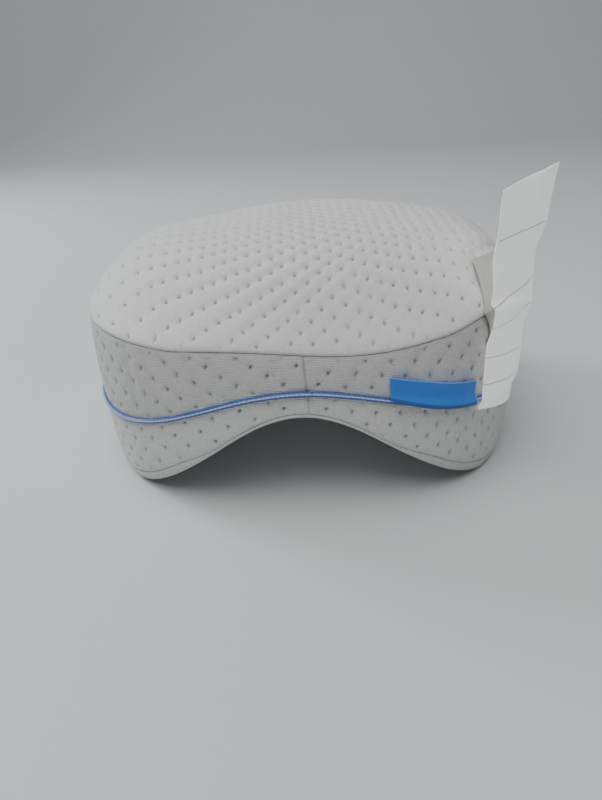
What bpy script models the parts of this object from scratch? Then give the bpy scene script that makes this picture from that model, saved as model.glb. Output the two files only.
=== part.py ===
# Knee pillow: a moulded foam pillow in a sewn knit cover, standing on its two lobes.
# Metres, +Z up, +X to the pillow's right and -Y to its front. The origin is on the surface that
# it stands on, under the middle of the pillow.
#
# The filled cover is cut at its seams into the panels that a maker sews together, with the foam
# behind each panel as part of that panel's solid, so that no piece hides inside another.

import bmesh
import bpy
from math import atan2, cos, exp, pi, radians, sin, sqrt

# Plan outline of the top seam: a rounded square
HALF_WIDTH = 0.130
HALF_DEPTH = 0.118
ROUNDNESS = 2.62              # power of the rounded square: 2 would be an ellipse

# Top seam and crown
SEAM_HEIGHT = 0.0952          # top seam, middle
SEAM_RISE = 0.0054            # how far it climbs to the ends
SEAM_WAVE = 0.0019            # slack in the top seam at the front
WAVE_REACH = 0.066
SEAM_TUG = 0.0045             # the labels' corner pulls the top seam up
TUG_ANGLE = radians(-47)
TUG_SPREAD = radians(8)
EDGE_POWER = 6                # how fast the wave and the tug fade inwards
CROWN_HEIGHT = 0.0434         # top of the pillow above the top seam
CROWN_POWER = 3.34            # how full its shoulder is
CROWN_EDGE = 1.20             # how gently it leaves the seam
CROWN_FALL_X = 0.548          # share that it drops towards the lobes
CROWN_LOBES = 1.787           # and gains again over them
CROWN_LIFT_Y = 0.098          # share that it gains towards the front and back
CROWN_CORNER = 0.285          # share that it drops towards the corners
CROWN_LEAN = 0.09             # a little fuller to the right
RIM_HEIGHT = 0.003            # upright edge of the top panel under its crown

# Piping, and the leg channel under it
PIPING_HEIGHT = 0.0747        # middle of the front
PIPING_LEFT = 0.0478          # at the lobes
PIPING_RIGHT = 0.0550
PIPING_LOW_X = 0.116          # where it is lowest
ARCH_HEIGHT = 0.0603          # leg channel, middle
ARCH_SPAN = 0.0775            # how wide the arch is
ARCH_SINK = 0.0105            # how far its ends are pressed flat by the floor
LOBE_X = 0.1205               # a lobe turns up outside this
LOBE_UPTURN = 0.0115
LIP_HEIGHT = 0.0075           # bottom seam above the underside, at the lobes
LIP_ARCH = 0.0024             # and over the leg channel
LIP_START = 0.044             # it widens between these distances from the middle
LIP_FULL = 0.076

# Upright wall: nearly straight, drawn in towards the floor
BELLY_HEIGHT = 0.060
BELLY = 0.0008
UPPER_DRAW = 0.0008
LOWER_DRAW = 0.0022
FLOOR_EDGE = 0.0040           # inset of the underside's edge

# Sewing
SEAM_GAP = 0.0004             # measured upright: 0.3 mm square to the steepest stretch
TUCK = 0.0011                 # how far a panel's edge is drawn in at a seam
PUFF = 0.0007                 # how far a band stands out between its seams
PUFF_FULL = 0.018             # a band this high stands out fully
PIPING_RADIUS = 0.0015
PIPING_PROUD = 0.0009         # centre of the piping outside the wall
PIPING_STEP = 0.0012          # its two ends cross here, one above the other
PIPING_STEP_SPREAD = radians(4)
PIPING_JOIN = radians(-89)

# Labels, one sheet of woven tape each
TAPE = 0.001
LABEL_LIFT = 0.0005
BLUE_FROM = radians(-70.6)
BLUE_TO = radians(-50.0)
BLUE_RISE = 0.0116            # above the piping
BLUE_DROP = 0.0024            # below it
LONG_WIDTH = 0.050
LONG_SEWN = 0.005             # from the piping down to the long label's sewn end
LONG_STANDOFF = 0.0038        # room under it for the piping and the short label
SHOULDER_LIFT = 0.0012        # room under the short label where it folds over the shoulder
SHOULDER_RAMP = 0.1           # share of the way in over which that room opens
SHOULDER_ROOM = 0.0045        # more room there between the short label and the long one
SHOULDER_STEP = 0.002         # the long label's room is looked for in steps this far inwards
SHOULDER_END = 0.6

# Mesh density: cells across a panel, facets round the piping come from its bevel resolution
CELLS = 22
LABEL_CELLS = 12
TURN_STEPS = 20               # straight steps that a row of the long label turns in

COVER_WHITE = (0.78, 0.78, 0.76, 1.0)
PIPING_BLUE = (0.05, 0.14, 0.42, 1.0)
LABEL_BLUE = (0.02, 0.13, 0.45, 1.0)
LABEL_WHITE = (0.82, 0.82, 0.80, 1.0)
LABEL_CREAM = (0.72, 0.69, 0.62, 1.0)

# The long label's edge nearest the front, row by row from its sewn end to its free end: height
# and place of that edge, its heading there, how far it turns and how far it drops across the tape
LONG_ROWS = (
    {"height": 0.0500, "x": 0.0940, "y": -0.0955, "heading": 42, "turn": 22, "fall": 0.0150},
    {"height": 0.0560, "x": 0.0938, "y": -0.0962, "heading": 42, "turn": 22, "fall": 0.0130},
    {"height": 0.0640, "x": 0.0936, "y": -0.0968, "heading": 43, "turn": 21, "fall": 0.0108},
    {"height": 0.0740, "x": 0.0937, "y": -0.0970, "heading": 42, "turn": 19, "fall": 0.0103},
    {"height": 0.0830, "x": 0.0938, "y": -0.0970, "heading": 43, "turn": 16, "fall": 0.0096},
    {"height": 0.0900, "x": 0.0946, "y": -0.0965, "heading": 43, "turn": 12, "fall": 0.0060},
    {"height": 0.0955, "x": 0.0968, "y": -0.0948, "heading": 45, "turn": 9, "fall": 0.0010},
    {"height": 0.1030, "x": 0.0973, "y": -0.0938, "heading": 46, "turn": 8, "fall": -0.0030},
    {"height": 0.1130, "x": 0.0972, "y": -0.0930, "heading": 46, "turn": 8, "fall": -0.0048},
    {"height": 0.1260, "x": 0.0972, "y": -0.0922, "heading": 45, "turn": 6, "fall": -0.0030},
    {"height": 0.1390, "x": 0.0979, "y": -0.0920, "heading": 46, "turn": 3, "fall": -0.0012},
    {"height": 0.1520, "x": 0.0976, "y": -0.0926, "heading": 45, "turn": 0, "fall": 0.0},
    {"height": 0.1640, "x": 0.0972, "y": -0.0938, "heading": 44, "turn": -2, "fall": -0.0060},
)

# The short label's path up the wall and over the shoulder: height as a share of the upper band,
# then the plan angle of each edge in degrees and how far it is out from the middle
SHORT_ROWS = (
    {"up": 0.20, "left": -46.8, "left_ring": 1.0, "right": -24.8, "right_ring": 1.0},
    {"up": 0.50, "left": -46.6, "left_ring": 1.0, "right": -24.8, "right_ring": 1.0},
    {"up": 0.80, "left": -46.8, "left_ring": 1.0, "right": -24.8, "right_ring": 1.0},
    {"up": 1.00, "left": -48.8, "left_ring": 1.0, "right": -25.6, "right_ring": 1.0},
    {"up": 1.00, "left": -48.0, "left_ring": 0.985, "right": -25.2, "right_ring": 0.988},
    {"up": 1.00, "left": -45.6, "left_ring": 0.948, "right": -22.4, "right_ring": 0.970},
    {"up": 1.00, "left": -42.0, "left_ring": 0.890, "right": -17.4, "right_ring": 0.950},
    {"up": 1.00, "left": -37.0, "left_ring": 0.822, "right": -11.4, "right_ring": 0.925},
)


def clear_scene():
    for scene_object in list(bpy.data.objects):
        bpy.data.objects.remove(scene_object)


def new_collection(name):
    collection = bpy.data.collections.new(name)
    bpy.context.scene.collection.children.link(collection)
    return collection


def principled(name, colour, roughness):
    material = bpy.data.materials.new(name)
    material.use_nodes = True
    shader = material.node_tree.nodes["Principled BSDF"]
    shader.inputs["Base Color"].default_value = colour
    shader.inputs["Roughness"].default_value = roughness
    shader.inputs["Metallic"].default_value = 0.0
    return material


def outline(angle, offset=0.0):
    """Plan point of the top seam at an angle, moved outwards by an offset."""
    c = cos(angle)
    s = sin(angle)
    reach = (abs(c) ** ROUNDNESS + abs(s) ** ROUNDNESS) ** (-1 / ROUNDNESS)
    x = HALF_WIDTH * reach * c
    y = HALF_DEPTH * reach * s
    nx = abs(x / HALF_WIDTH) ** (ROUNDNESS - 1) / HALF_WIDTH * (1 if x >= 0 else -1)
    ny = abs(y / HALF_DEPTH) ** (ROUNDNESS - 1) / HALF_DEPTH * (1 if y >= 0 else -1)
    length = sqrt(nx * nx + ny * ny)
    return x + offset * nx / length, y + offset * ny / length


def bell(distance, spread):
    return exp(-((distance / spread) ** 2))


def underside(x, y):
    """The leg channel's arch, the lobes pressed flat where they stand, and their outer turn."""
    arch = (ARCH_HEIGHT + ARCH_SINK) * bell(x, ARCH_SPAN) - ARCH_SINK
    beyond = max(abs(x) - LOBE_X, 0.0) / (HALF_WIDTH - LOBE_X)
    return max(arch, 0.0) + LOBE_UPTURN * beyond ** 2


def bottom_seam(x, y):
    share = max(0.0, min(1.0, (abs(x) - LIP_START) / (LIP_FULL - LIP_START)))
    lip = LIP_ARCH + (LIP_HEIGHT - LIP_ARCH) * share * share * (3 - 2 * share)
    return underside(x, y) + lip


def piping_seam(x, y):
    """Follows the arch, a little higher at the right lobe than at the left."""
    share = max(-1.0, min(1.0, x / PIPING_LOW_X))
    right = 0.5 + 0.5 * sin(pi / 2 * share)
    low = PIPING_LEFT + (PIPING_RIGHT - PIPING_LEFT) * right
    return low + (PIPING_HEIGHT - low) * 0.5 * (1 + cos(pi * share))


def top_seam(x, y):
    """Top seam: slack at the front, and tugged up at the corner that carries the labels."""
    angle = atan2(y / HALF_DEPTH, x / HALF_WIDTH)
    tug = SEAM_TUG * bell(angle - TUG_ANGLE, TUG_SPREAD)
    wave = 0.0
    if y < 0 and abs(x) < WAVE_REACH:
        wave = -SEAM_WAVE * sin(pi * x / WAVE_REACH)
    near_edge = ring_of(x, y) ** EDGE_POWER
    return SEAM_HEIGHT + SEAM_RISE * (x / HALF_WIDTH) ** 2 + (tug + wave) * near_edge


def ring_of(x, y):
    """0 in the middle of the plan and 1 on the top seam's outline."""
    across = abs(x / HALF_WIDTH) ** ROUNDNESS
    along = abs(y / HALF_DEPTH) ** ROUNDNESS
    return min((across + along) ** (1 / ROUNDNESS), 1.0)


def crown(x, y):
    """Height of the crown above the top panel's upright edge."""
    shoulder = (1 - ring_of(x, y) ** CROWN_POWER) ** CROWN_EDGE
    u = x / HALF_WIDTH
    v = y / HALF_DEPTH
    slope = 1 + CROWN_LEAN * u - CROWN_FALL_X * u * u + CROWN_LOBES * u ** 4
    slope += CROWN_LIFT_Y * v * v - CROWN_CORNER * u * u * v * v
    return (CROWN_HEIGHT - RIM_HEIGHT) * shoulder * slope


def wall_offset(z):
    """How far the wall stands outside the top seam's outline at a height."""
    if z > BELLY_HEIGHT:
        return BELLY - UPPER_DRAW * ((z - BELLY_HEIGHT) / (SEAM_HEIGHT - BELLY_HEIGHT)) ** 2
    return BELLY - LOWER_DRAW * ((z - BELLY_HEIGHT) / (BELLY_HEIGHT - LIP_HEIGHT)) ** 2


def band_puff(share, height):
    """Extra offset of a band between its two seams: a narrow stretch stands out less."""
    fullness = min(height / PUFF_FULL, 1.0)
    return -TUCK + (TUCK + PUFF) * fullness * sqrt(max(sin(pi * share), 0.0))


def rim_puff(share, height):
    """The top panel's upright edge rises out of its seam."""
    return -TUCK + (TUCK + PUFF) * sqrt(max(sin(pi / 2 * share), 0.0))


def floor_puff(share, height):
    """The bottom panel rounds under from its seam to the underside."""
    under = 1 - sqrt(max(1 - (1 - share) ** 2, 0.0))
    return -TUCK * share - FLOOR_EDGE * under


def subdivided_block(levels):
    """A cube from -1 to 1 with CELLS columns each way and the given levels up its sides."""
    block = bmesh.new()
    bmesh.ops.create_cube(block, size=2.0)
    cuts = []
    for cell in range(1, CELLS):
        place = -1 + 2 * cell / CELLS
        cuts.append(((place, 0, 0), (1, 0, 0)))
        cuts.append(((0, place, 0), (0, 1, 0)))
    for level in levels:
        cuts.append(((0, 0, 2 * level - 1), (0, 0, 1)))
    for place, normal in cuts:
        geometry = block.verts[:] + block.edges[:] + block.faces[:]
        bmesh.ops.bisect_plane(block, geom=geometry, dist=1e-6, plane_co=place, plane_no=normal)
    split_level_faces(block)
    return block


def split_level_faces(block):
    """Cuts each top and bottom cell along the same diagonal, so that panels face to face match."""
    for face in block.faces[:]:
        if abs(face.normal.z) < 0.5:
            continue
        side = -1 if face.calc_center_median().x < 0 else 1
        corners = sorted(face.verts, key=lambda vert: vert.co.x + side * vert.co.y)
        bmesh.utils.face_split(face, corners[0], corners[-1])


def panel(name, low, high, puff, levels, crowned, material, collection):
    """One panel with the foam behind it, between the two surfaces that its seams lie on."""
    block = subdivided_block(levels)
    for vert in block.verts:
        u = sin(pi / 2 * vert.co.x)
        v = sin(pi / 2 * vert.co.y)
        share = (vert.co.z + 1) / 2
        ring = max(abs(u), abs(v))
        angle = atan2(v, u)
        seam_x, seam_y = outline(angle)
        bottom = low(seam_x * ring, seam_y * ring)
        top = high(seam_x * ring, seam_y * ring) - SEAM_GAP / 2
        if low is not underside:
            bottom += SEAM_GAP / 2
        if crowned:
            top = bottom + RIM_HEIGHT + crown(seam_x * ring, seam_y * ring)
        z = bottom + (top - bottom) * share
        edge_x, edge_y = outline(angle, (wall_offset(z) + puff(share, top - bottom)) * ring)
        vert.co = (edge_x * ring, edge_y * ring, z)
    return finish_mesh(name, block, material, collection)


def finish_mesh(name, mesh_builder, material, collection):
    bmesh.ops.recalc_face_normals(mesh_builder, faces=mesh_builder.faces[:])
    mesh = bpy.data.meshes.new(name)
    mesh_builder.to_mesh(mesh)
    mesh_builder.free()
    mesh.shade_smooth()
    mesh.set_sharp_from_angle(angle=radians(50))
    mesh.materials.append(material)
    piece = bpy.data.objects.new(name, mesh)
    collection.objects.link(piece)
    return piece


def piping(name, material, collection):
    """A ring of cord in the groove between the bands, with a step where its ends cross."""
    curve = bpy.data.curves.new(name, "CURVE")
    curve.dimensions = "3D"
    curve.bevel_depth = PIPING_RADIUS
    curve.bevel_resolution = 2
    spline = curve.splines.new("POLY")
    corners = []
    for side in range(4):
        for cell in range(CELLS):
            along = sin(pi / 2 * (-1 + 2 * cell / CELLS))
            square = ((along, -1), (1, along), (-along, 1), (-1, -along))[side]
            corners.append(atan2(square[1], square[0]))
    spline.points.add(len(corners) - 1)
    for point, angle in zip(spline.points, corners):
        x, y = outline(angle)
        z = piping_seam(x, y)
        step = PIPING_STEP * bell(angle - PIPING_JOIN, PIPING_STEP_SPREAD)
        x, y = outline(angle, wall_offset(z) + PIPING_PROUD + step * 0.5)
        point.co = (x, y, z, 1.0)
    spline.use_cyclic_u = True
    curve.materials.append(material)
    piece = bpy.data.objects.new(name, curve)
    collection.objects.link(piece)
    return piece


def tape(name, columns, rows, place, material, collection):
    """A sheet of tape: place gives the point for a share across and a share along."""
    sheet = bmesh.new()
    bmesh.ops.create_grid(sheet, x_segments=columns, y_segments=rows, size=1.0)
    for vert in sheet.verts:
        across = (vert.co.x + 1) / 2
        along = (vert.co.y + 1) / 2
        vert.co = place(across, along)
    mesh = bpy.data.meshes.new(name)
    sheet.to_mesh(mesh)
    sheet.free()
    mesh.shade_smooth()
    mesh.materials.append(material)
    piece = bpy.data.objects.new(name, mesh)
    collection.objects.link(piece)
    thickness = piece.modifiers.new("Tape thickness", "SOLIDIFY")
    thickness.thickness = TAPE
    thickness.offset = 1.0
    thickness.use_even_offset = True
    return piece


def blue_place(across, along):
    """The front label: out of the seam below the piping, round it and up over the band."""
    angle = BLUE_FROM + (BLUE_TO - BLUE_FROM) * across
    x, y = outline(angle)
    rise = -BLUE_DROP + (BLUE_RISE + BLUE_DROP) * along
    z = piping_seam(x, y) + rise
    band = PUFF + LABEL_LIFT
    bulge = PIPING_PROUD + PIPING_RADIUS + LABEL_LIFT + TUCK
    near = bell(rise, 2 * PIPING_RADIUS)
    out = wall_offset(z) + band + (bulge - band) * near
    x, y = outline(angle, out)
    return x, y, z


def row_at(rows, along):
    """Row values at a share of the way along, read smoothly between the two nearest rows."""
    place = along * (len(rows) - 1)
    first = min(int(place), len(rows) - 2)
    part = place - first
    return {key: rows[first][key] * (1 - part) + rows[first + 1][key] * part
            for key in rows[first]}


def clear_of_wall(x, y, z):
    """Moves a point of the long label out to the wall, the shoulder and what lies on them."""
    angle = atan2(y / HALF_DEPTH, x / HALF_WIDTH)
    seam_x, seam_y = outline(angle)
    above = z - piping_seam(seam_x, seam_y) + LONG_SEWN
    covered = max(0.0, min(1.0, above / LONG_SEWN))
    room = PUFF + LABEL_LIFT + (LONG_STANDOFF - PUFF - LABEL_LIFT) * covered
    climb = z - top_seam(seam_x, seam_y) - RIM_HEIGHT
    ring = 1.0
    while ring > SHOULDER_END and crown(seam_x * ring, seam_y * ring) < climb:
        ring -= SHOULDER_STEP
    room += SHOULDER_ROOM * min((1 - ring) / SHOULDER_RAMP, 1.0)
    wall_x, wall_y = outline(angle, wall_offset(min(z, SEAM_HEIGHT)) + room)
    wall_x *= ring
    wall_y *= ring
    if wall_x * wall_x + wall_y * wall_y > x * x + y * y:
        return wall_x, wall_y
    return x, y


def long_place(across, along):
    """The long label: each row runs from its front edge, turning evenly across the tape."""
    row = row_at(LONG_ROWS, along)
    x = row["x"]
    y = row["y"]
    steps = TURN_STEPS
    for step in range(steps):
        heading = radians(row["heading"] + row["turn"] * across * (step + 0.5) / steps)
        x += LONG_WIDTH * across / steps * cos(heading)
        y += LONG_WIDTH * across / steps * sin(heading)
    z = row["height"] - row["fall"] * across
    x, y = clear_of_wall(x, y, z)
    return x, y, z


def short_place(across, along):
    """The short label lies on the band and folds over the pillow's shoulder."""
    row = row_at(SHORT_ROWS, along)
    angle = radians(row["left"] + (row["right"] - row["left"]) * across)
    ring = row["left_ring"] + (row["right_ring"] - row["left_ring"]) * across
    x, y = outline(angle)
    low = piping_seam(x, y)
    z = low + (top_seam(x, y) + RIM_HEIGHT - low) * row["up"]
    out = wall_offset(min(z, SEAM_HEIGHT)) + PUFF + LABEL_LIFT
    z += top_seam(x * ring, y * ring) - top_seam(x, y) + crown(x * ring, y * ring)
    x, y = outline(angle, out)
    return x * ring, y * ring, z + SHOULDER_LIFT * min((1 - ring) / SHOULDER_RAMP, 1.0)


def build():
    clear_scene()
    pillow = new_collection("knee_pillow")
    cover = principled("cover_knit", COVER_WHITE, 0.85)
    cord = principled("piping_satin", PIPING_BLUE, 0.35)
    blue = principled("label_blue", LABEL_BLUE, 0.6)
    white = principled("label_white", LABEL_WHITE, 0.7)
    cream = principled("label_cream", LABEL_CREAM, 0.75)

    band_levels = (0.08, 0.25, 0.5, 0.75, 0.92)
    panel("bottom_panel", underside, bottom_seam, floor_puff, (0.15, 0.45), False, cover, pillow)
    panel("lower_band", bottom_seam, piping_seam, band_puff, band_levels, False, cover, pillow)
    panel("upper_band", piping_seam, top_seam, band_puff, band_levels, False, cover, pillow)
    panel("top_panel", top_seam, top_seam, rim_puff, (0.4,), True, cover, pillow)
    piping("piping", cord, pillow)
    tape("blue_label", LABEL_CELLS, 8, blue_place, blue, pillow)
    tape("long_label", LABEL_CELLS, 20, long_place, white, pillow)
    tape("short_label", LABEL_CELLS, 12, short_place, cream, pillow)


build()
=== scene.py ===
import bmesh
import bpy
import numpy as np
from math import cos, pi, radians, sin
from mathutils import Matrix, Vector


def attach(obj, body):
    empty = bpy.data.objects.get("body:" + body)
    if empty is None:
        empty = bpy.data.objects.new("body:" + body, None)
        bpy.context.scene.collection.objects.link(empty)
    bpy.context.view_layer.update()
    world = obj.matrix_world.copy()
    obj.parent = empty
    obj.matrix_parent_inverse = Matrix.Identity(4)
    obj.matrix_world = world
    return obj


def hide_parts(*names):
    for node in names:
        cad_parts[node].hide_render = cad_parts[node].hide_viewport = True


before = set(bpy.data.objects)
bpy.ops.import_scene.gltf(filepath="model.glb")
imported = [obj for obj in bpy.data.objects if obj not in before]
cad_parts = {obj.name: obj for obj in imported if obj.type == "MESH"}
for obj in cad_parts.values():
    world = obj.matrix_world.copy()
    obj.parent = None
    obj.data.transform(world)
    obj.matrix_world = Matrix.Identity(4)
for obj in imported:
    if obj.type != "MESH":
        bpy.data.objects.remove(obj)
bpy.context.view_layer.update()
print("frame loaded", len(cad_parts), "nodes")


# Shape shared by all pieces
# The same sizes as the solids were built from, in metres
pillow = {
    "halfWidth": 0.130,
    "halfDepth": 0.118,
    "roundness": 2.62,       # 2 would be an ellipse
    "seamHeight": 0.0952,
    "seamRise": 0.0054,
    "seamWave": 0.0019,
    "waveReach": 0.066,
    "seamTug": 0.0045,       # the labels' corner pulls the seam up
    "tugAngle": radians(-47),
    "tugSpread": radians(8),
    "crown": 0.0404,
    "crownPower": 3.34,
    "crownEdge": 1.20,
    "crownFallX": 0.548,
    "crownLobes": 1.787,
    "crownLiftY": 0.098,
    "crownCorner": 0.285,
    "crownLean": 0.09,
    "rim": 0.003,
    "pipingHeight": 0.0747,
    "pipingLeft": 0.0478,
    "pipingRight": 0.0550,
    "pipingLowX": 0.116,
    "archHeight": 0.0603,
    "archSpan": 0.0775,
    "archSink": 0.0105,
    "lobeX": 0.1205,
    "lobeUpturn": 0.0115,
    "lip": 0.0075,
    "lipArch": 0.0024,       # narrow over the leg channel
    "lipStart": 0.044,
    "lipFull": 0.076,
    "bellyHeight": 0.060,
    "belly": 0.0008,
    "lowerDraw": 0.0022,
    "floorEdge": 0.0040,
}


def bell(distance, spread):
    return np.exp(-((distance / spread) ** 2))


def smooth(value, low, high):
    share = np.clip((value - low) / (high - low), 0, 1)
    return share * share * (3 - 2 * share)


def outlineAt(angle, offset=0.0):
    # Plan points of the top seam, moved outwards by the offset.
    power = pillow["roundness"]
    c, s = np.cos(angle), np.sin(angle)
    reach = (np.abs(c) ** power + np.abs(s) ** power) ** (-1 / power)
    x = pillow["halfWidth"] * reach * c
    y = pillow["halfDepth"] * reach * s
    nx = np.sign(x) * np.abs(x / pillow["halfWidth"]) ** (power - 1) / pillow["halfWidth"]
    ny = np.sign(y) * np.abs(y / pillow["halfDepth"]) ** (power - 1) / pillow["halfDepth"]
    length = np.hypot(nx, ny)
    return x + offset * nx / length, y + offset * ny / length


def ringOf(x, y):
    power = pillow["roundness"]
    across = np.abs(x / pillow["halfWidth"]) ** power
    along = np.abs(y / pillow["halfDepth"]) ** power
    return np.minimum((across + along) ** (1 / power), 1.0)


def underside(x, y):
    tall = pillow["archHeight"] + pillow["archSink"]
    arch = tall * bell(x, pillow["archSpan"]) - pillow["archSink"]
    beyond = np.maximum(np.abs(x) - pillow["lobeX"], 0) / (pillow["halfWidth"] - pillow["lobeX"])
    return np.maximum(arch, 0) + pillow["lobeUpturn"] * beyond ** 2


def bottomSeam(x, y):
    share = smooth(np.abs(x), pillow["lipStart"], pillow["lipFull"])
    return underside(x, y) + pillow["lipArch"] + (pillow["lip"] - pillow["lipArch"]) * share


def pipingSeam(x, y):
    share = np.clip(x / pillow["pipingLowX"], -1, 1)
    toRight = 0.5 + 0.5 * np.sin(pi / 2 * share)
    low = pillow["pipingLeft"] + (pillow["pipingRight"] - pillow["pipingLeft"]) * toRight
    return low + (pillow["pipingHeight"] - low) * 0.5 * (1 + np.cos(pi * share))


def topSeam(x, y):
    angle = np.arctan2(y / pillow["halfDepth"], x / pillow["halfWidth"])
    tug = pillow["seamTug"] * bell(angle - pillow["tugAngle"], pillow["tugSpread"])
    front = (y < 0) & (np.abs(x) < pillow["waveReach"])
    wave = np.where(front, -pillow["seamWave"] * np.sin(pi * x / pillow["waveReach"]), 0)
    rise = pillow["seamRise"] * (x / pillow["halfWidth"]) ** 2
    return pillow["seamHeight"] + rise + (tug + wave) * ringOf(x, y) ** 6


def crownAt(x, y):
    shoulder = np.maximum(1 - ringOf(x, y) ** pillow["crownPower"], 0) ** pillow["crownEdge"]
    u = x / pillow["halfWidth"]
    v = y / pillow["halfDepth"]
    slope = 1 + pillow["crownLean"] * u - pillow["crownFallX"] * u * u + pillow["crownLobes"] * u ** 4
    slope += pillow["crownLiftY"] * v * v - pillow["crownCorner"] * u * u * v * v
    return pillow["crown"] * shoulder * slope


def wallOffset(z):
    above = z - pillow["bellyHeight"]
    low = pillow["lowerDraw"] * (above / (pillow["bellyHeight"] - pillow["lip"])) ** 2
    high = pillow["belly"] * (above / (pillow["seamHeight"] - pillow["bellyHeight"])) ** 2
    return pillow["belly"] - np.where(z > pillow["bellyHeight"], high, low)


# Arc length round the top seam's outline, so that cells and cloth are even along it
ringAngles = np.linspace(-pi / 2, 3 * pi / 2, 4001)
ringX, ringY = outlineAt(ringAngles)
ringArc = np.concatenate(([0], np.cumsum(np.hypot(np.diff(ringX), np.diff(ringY)))))
ringLength = ringArc[-1]


def angleOfShare(share):
    # Plan angle at a share of the way round, from the middle of the front.
    return np.interp(np.mod(share, 1) * ringLength, ringArc, ringAngles)


def meshPoints(mesh):
    points = np.empty(len(mesh.vertices) * 3)
    mesh.vertices.foreach_get("co", points)
    return points.reshape(-1, 3)


def setPoints(mesh, points):
    mesh.vertices.foreach_set("co", np.ascontiguousarray(points, dtype=np.float32).ravel())
    mesh.update()


def setUv(mesh, values):
    # One pair of values a point, written to every corner that uses it.
    corner = np.empty(len(mesh.loops), dtype=np.int32)
    mesh.loops.foreach_get("vertex_index", corner)
    layer = mesh.uv_layers.new(name="cloth")
    layer.data.foreach_set("uv", np.ascontiguousarray(values[corner], dtype=np.float32).ravel())
    return corner


def setShade(mesh, name, values):
    attribute = mesh.attributes.new(name, "FLOAT", "POINT")
    attribute.data.foreach_set("value", np.ascontiguousarray(values, dtype=np.float32))


def newPiece(name, builder):
    bmesh.ops.recalc_face_normals(builder, faces=builder.faces[:])
    mesh = bpy.data.meshes.new(name)
    builder.to_mesh(mesh)
    builder.free()
    mesh.shade_smooth()
    piece = bpy.data.objects.new(name, mesh)
    bpy.context.scene.collection.objects.link(piece)
    return piece


def finishPiece(piece, nodeName, material):
    piece.data.materials.append(material)
    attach(piece, "root")
    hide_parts(nodeName)
    return piece


def extrudeRows(builder, edges, rows, step, shrink=1.0):
    # Pulls a closed loop of edges up one row after another.
    for row in range(rows):
        result = bmesh.ops.extrude_edge_only(builder, edges=edges)
        verts = [item for item in result["geom"] if isinstance(item, bmesh.types.BMVert)]
        edges = [item for item in result["geom"] if isinstance(item, bmesh.types.BMEdge)]
        bmesh.ops.translate(builder, vec=(0, 0, step), verts=verts)
        if shrink != 1.0:
            bmesh.ops.scale(builder, vec=(shrink, shrink, 1), verts=verts)
    return edges


def closeLoop(builder, edges, step, rings):
    # Closes a loop with rings that run in to a point.
    for share in rings:
        edges = extrudeRows(builder, edges, 1, step, share)
    verts = list({vert for edge in edges for vert in edge.verts})
    centre = Vector((0, 0, verts[0].co.z))
    bmesh.ops.pointmerge(builder, verts=verts, merge_co=centre)


# How far in, step by step, a loop is drawn before it closes inside the pillow
bandClosing = (0.985, 0.93, 0.80, 0.70, 0.55, 0.4)
panelClosing = (0.97, 0.9, 0.8, 0.6, 0.4)

# Knit cover: pits and puckers
cloth = {
    "topColumn": 0.0063,     # between columns of pits
    "topPeriod": 0.0112,     # between pits in a column
    "topDrop": 0.5,          # each next column is half a period on
    "bandColumn": 0.0078,
    "bandPeriod": 0.0144,
    "bandDrop": 1 / 3,       # and a third on the bands
    "pitDepth": 0.0015,
    "pitWidth": 0.00075,
    "puff": 0.0013,
    "puffWidth": 0.0029,
    "star": 0.00016,         # short creases that run out from a pit
    "level": 0.45,           # cloth drawn down less than this stands up as a puff
    "mostDent": 1.2,
    "starFrom": 0.0004,
    "starTo": 0.0016,
    "loopHighlight": 0.0006,         # the loop of thread beside a pit
    "crumbAside": 0.0009,
    "crumbBelow": 0.0005,
    "crumbWidth": 0.0005,
    "scatter": 0.0009,       # pits aren't set quite evenly
    "drift": 0.0007,         # nor is the pattern quite straight
    "driftPitch": 0.021,
    "bandWide": 1.12,        # the bands' pits are a little wider
    "bandFullness": 0.35,
    "underFullness": 0.5,
    "creaseWidth": 0.0005,
}


def wander(u, v, seed):
    # Slow uneven drift between -1 and 1, the same each run.
    total = np.zeros_like(u)
    for index in range(5):
        turn = seed * 1.7 + index * 2.399
        pitch = cloth["driftPitch"] * (1.35 ** index)
        way = u * np.cos(turn) + v * np.sin(turn)
        total += np.sin(way * 2 * pi / pitch + seed * 3.1 + index * 1.3)
    return total / 3.2


def chancesOf(index, number):
    # Two values between 0 and 1 for a pit, the same each run.
    one = np.sin(index * 12.9898 + number * 78.233) * 43.7585
    two = np.sin(index * 39.346 + number * 11.135) * 23.421
    return one - np.floor(one), two - np.floor(two)


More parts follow.
